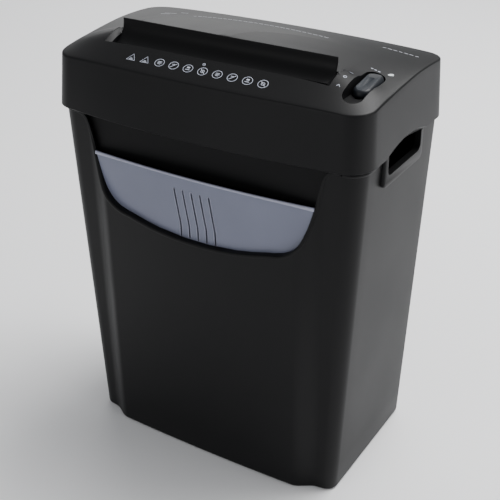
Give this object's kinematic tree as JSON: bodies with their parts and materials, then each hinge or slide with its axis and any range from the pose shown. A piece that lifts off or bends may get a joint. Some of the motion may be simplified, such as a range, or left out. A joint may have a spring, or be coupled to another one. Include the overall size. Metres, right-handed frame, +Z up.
{
  "type": "paper shredder",
  "caption": "Free-standing paper shredder: tapered waste bin with a smile-shaped window, lift-off cutting head with a raised feed hood, slide switch, geared cutter shafts and side hand grips",
  "frame": {"origin": "centre of the bounding box's base, on the floor under the bin", "axes": "X to the right along the paper slot as seen from the front, Y from the front (window side, -Y) to the back, Z up"},
  "size_m": [0.33, 0.186, 0.4305],
  "materials": {
    "bin_plastic": "fine satin texture",
    "window_plastic": "smoky translucent plastic",
    "cover_plastic": "fine satin texture",
    "hood_plastic": "smooth satin",
    "housing_plastic": "satin",
    "chute_plastic": "smooth",
    "plate_steel": "zinc plated sheet",
    "rod_steel": "bright drawn",
    "bushing_brass": "sintered",
    "comb_plastic": "moulded",
    "cutter_steel": "hardened, lightly oiled",
    "spacer_steel": "plain",
    "gear_steel": "sintered steel",
    "gear_acetal": "natural acetal",
    "clip_steel": "spring steel",
    "motor_steel": "plated drawn steel",
    "motor_plastic": "moulded",
    "rotor_iron": "laminated",
    "pinion_brass": "cut",
    "knob_plastic": "satin slate",
    "switch_plastic": "moulded",
    "lens_plastic": "frosted light guide",
    "led_resin": "tinted epoxy",
    "board_laminate": "solder-masked laminate",
    "capacitor_film": "dipped",
    "relay_plastic": "moulded",
    "terminal_plastic": "moulded",
    "gland_rubber": "plain",
    "lead_plastic": "insulation"
  },
  "bodies": {
    "bin": {"waste_bin": "bin_plastic", "bin_window": "window_plastic"},
    "front_cutter_body": {"front_shaft": "rod_steel", "front_cutters": "cutter_steel", "front_spacers": "spacer_steel", "front_sync_gear": "gear_steel", "front_clips": "clip_steel"},
    "rear_cutter_body": {"rear_shaft": "rod_steel", "rear_cutters": "cutter_steel", "rear_spacers": "spacer_steel", "rear_sync_gear": "gear_steel", "rear_drive_gear": "gear_steel", "rear_clips": "clip_steel"},
    "idler_a_body": {"idler_gear_a": "gear_acetal"},
    "idler_b_body": {"idler_gear_b": "gear_acetal"},
    "rotor_body": {"motor_rotor": "rotor_iron", "motor_pinion": "pinion_brass"},
    "selector": {"slide_knob": "knob_plastic"},
    "paper_sensor": {"sensor_lever": "gear_acetal"},
    "interlock": {"interlock_plunger": "gear_acetal"},
    "head": {"top_cover": "cover_plastic", "feed_hood": "hood_plastic", "feed_chute": "chute_plastic", "lower_housing": "housing_plastic", "frame_plate_left": "plate_steel", "frame_plate_right": "plate_steel", "frame_rods": "rod_steel", "frame_nuts": "rod_steel", "shaft_bushings": "bushing_brass", "stripper_comb_front": "comb_plastic", "stripper_comb_rear": "comb_plastic", "gear_posts": "rod_steel", "gear_cover": "motor_plastic", "motor_can": "motor_steel", "motor_end_cap": "motor_plastic", "motor_screws": "clip_steel", "slide_switch": "switch_plastic", "power_lens": "lens_plastic", "power_led": "led_resin", "control_board": "board_laminate", "board_capacitor": "capacitor_film", "board_relay": "relay_plastic", "board_terminals": "terminal_plastic", "sensor_switch": "switch_plastic", "interlock_switch": "switch_plastic", "cable_gland": "gland_rubber", "cover_screws": "clip_steel", "motor_leads": "lead_plastic"}
  },
  "joints": [
    {"name": "head_lift", "type": "slide", "parent": "bin", "child": "head", "axis": [0, 0, 1], "range_m": [0, 0.12]},
    {"name": "rear_cutter_turn", "type": "hinge", "parent": "head", "child": "rear_cutter_body", "pos_m": [0, -0.023, 0.362], "axis": [1, 0, 0], "continuous": true},
    {"name": "front_cutter_turn", "type": "hinge", "parent": "head", "child": "front_cutter_body", "pos_m": [0, -0.053, 0.362], "axis": [1, 0, 0], "continuous": true},
    {"name": "idler_b_turn", "type": "hinge", "parent": "head", "child": "idler_b_body", "pos_m": [-0.126, -0.00964, 0.3843], "axis": [1, 0, 0], "continuous": true},
    {"name": "idler_a_turn", "type": "hinge", "parent": "head", "child": "idler_a_body", "pos_m": [-0.122, 0.00926, 0.3695], "axis": [1, 0, 0], "continuous": true},
    {"name": "rotor_turn", "type": "hinge", "parent": "head", "child": "rotor_body", "pos_m": [-0.07, 0.033, 0.366], "axis": [1, 0, 0], "continuous": true},
    {"name": "selector_slide", "type": "slide", "parent": "head", "child": "selector", "axis": [0, 1, 0], "range_m": [-0.017, 0]},
    {"name": "sensor_swing", "type": "hinge", "parent": "head", "child": "paper_sensor", "pos_m": [0, -0.032, 0.399], "axis": [1, 0, 0], "range_deg": [0, 24], "stiffness_Nm_per_rad": 0.004},
    {"name": "interlock_slide", "type": "slide", "parent": "head", "child": "interlock", "axis": [0, 0, 1], "range_m": [-0.0017, 0]}
  ],
  "couplings": [
    {"joint": "front_cutter_turn", "follows": "rear_cutter_turn", "ratio": -1},
    {"joint": "idler_b_turn", "follows": "rear_cutter_turn", "ratio": -3.3333},
    {"joint": "idler_a_turn", "follows": "rear_cutter_turn", "ratio": 13.333},
    {"joint": "rotor_turn", "follows": "rear_cutter_turn", "ratio": -53.333}
  ]
}
